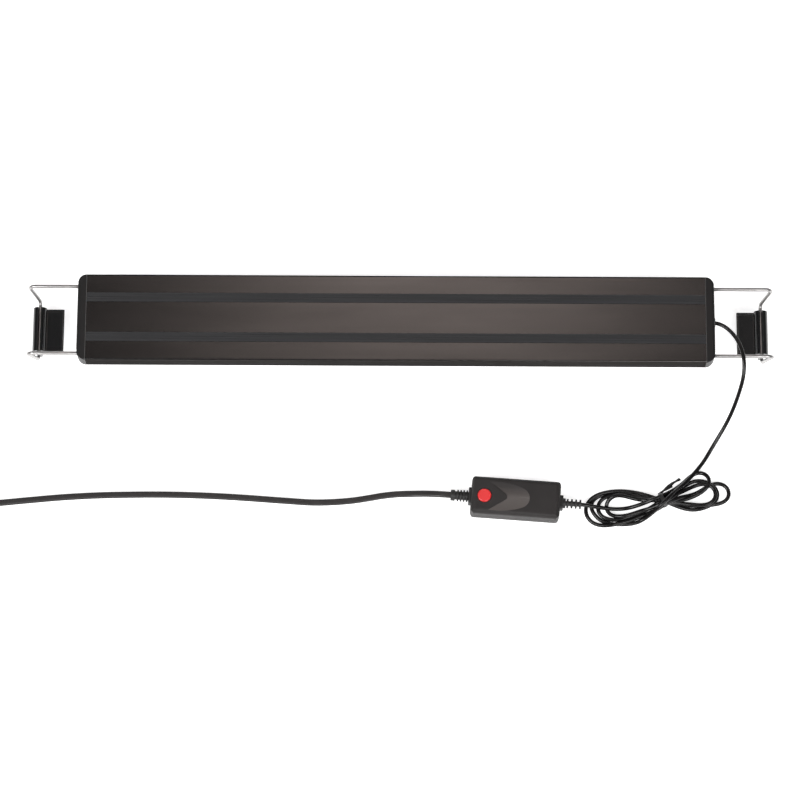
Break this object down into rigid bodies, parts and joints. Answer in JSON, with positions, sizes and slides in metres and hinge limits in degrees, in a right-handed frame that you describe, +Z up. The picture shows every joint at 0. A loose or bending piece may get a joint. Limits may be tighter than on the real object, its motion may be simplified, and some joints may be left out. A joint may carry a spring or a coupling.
{
  "type": "led aquarium light",
  "caption": "Slim aluminium LED light bar for a fish tank, with sliding wire brackets, clips for the tank rims and a lead with an inline driver box.",
  "frame": {"origin": "on the surface that the clips stand on, under the middle of the lamp between its outer bracket ends; the lead and what is on it are left out", "axes": "+X along the lamp towards the end that the lead leaves, +Y away from the driver box, +Z up; the LEDs face down"},
  "size_m": [0.6965, 0.1899, 0.054],
  "materials": {
    "anodised_black": "satin black anodised",
    "cap_plastic": "satin moulded",
    "gasket_silicone": "matte translucent",
    "screw_steel": "bright",
    "lens_acrylic": "clear gloss",
    "thermal_pad": "matte",
    "led_board_white": "white solder mask",
    "led_white": "gloss",
    "led_blue": "gloss",
    "lead_wire": "satin",
    "black_rubber": "satin",
    "stainless_wire": "polished",
    "stop_plastic": "satin",
    "clip_plastic": "gloss",
    "lamp_cord_pvc": "satin",
    "tie_plastic": "satin",
    "driver_plastic": "fine texture",
    "pcb_green": "solder mask",
    "transformer_tape": "satin",
    "capacitor_sleeve": "gloss",
    "switch_plastic": "satin",
    "spring_steel": "bright",
    "button_red": "gloss",
    "mains_cord_pvc": "satin",
    "plug_plastic": "satin gloss",
    "pin_metal": "nickel plated"
  },
  "bodies": {
    "root": {"housing_extrusion": "anodised_black", "end_cap_left": "cap_plastic", "end_cap_right": "cap_plastic", "end_gasket_left": "gasket_silicone", "end_gasket_right": "gasket_silicone", "cap_screws_left": "screw_steel", "cap_screws_right": "screw_steel", "lens_cover": "lens_acrylic", "thermal_pad": "thermal_pad", "led_board": "led_board_white", "white_leds": "led_white", "blue_leds": "led_blue", "led_leads": "lead_wire", "cord_grommet": "black_rubber", "outlet_boot": "black_rubber", "inlet_boot": "black_rubber", "lamp_cord": "lamp_cord_pvc", "lamp_cord_tail": "lamp_cord_pvc", "lamp_cord_hank": "lamp_cord_pvc", "hank_tie": "tie_plastic", "coil_tie": "tie_plastic", "driver_case_upper": "driver_plastic", "driver_case_lower": "driver_plastic", "driver_board": "pcb_green", "transformer": "transformer_tape", "capacitors": "capacitor_sleeve", "power_switch": "switch_plastic", "button_spring": "spring_steel", "mains_cord": "mains_cord_pvc", "mains_coil": "mains_cord_pvc", "mains_tail": "mains_cord_pvc", "plug_body": "plug_plastic", "plug_pins": "pin_metal"},
    "bracket_left": {"bracket_wire_left": "stainless_wire", "wire_stops_left": "stop_plastic"},
    "bracket_right": {"bracket_wire_right": "stainless_wire", "wire_stops_right": "stop_plastic"},
    "clip_left": {"tank_clip_left": "clip_plastic"},
    "clip_right": {"tank_clip_right": "clip_plastic"},
    "button": {"power_button": "button_red"}
  },
  "joints": [
    {"name": "bracket_left_slide", "type": "slide", "parent": "root", "child": "bracket_left", "axis": [-1, 0, 0], "range_m": [-0.0325, 0.0605]},
    {"name": "bracket_right_slide", "type": "slide", "parent": "root", "child": "bracket_right", "axis": [1, 0, 0], "range_m": [-0.0395, 0.0535]},
    {"name": "clip_left_tilt", "type": "hinge", "parent": "bracket_left", "child": "clip_left", "pos_m": [-0.2865, 0, 0.0145], "axis": [0, -1, 0], "range_deg": [-30, 90]},
    {"name": "clip_right_tilt", "type": "hinge", "parent": "bracket_right", "child": "clip_right", "pos_m": [0.2865, 0, 0.0145], "axis": [0, 1, 0], "range_deg": [-30, 90]},
    {"name": "button_press", "type": "slide", "parent": "root", "child": "button", "axis": [0, 0, -1], "range_m": [0, 0.0015], "stiffness_N_per_m": 1000, "springref_m": -0.001, "deforming": ["button_spring"]}
  ]
}
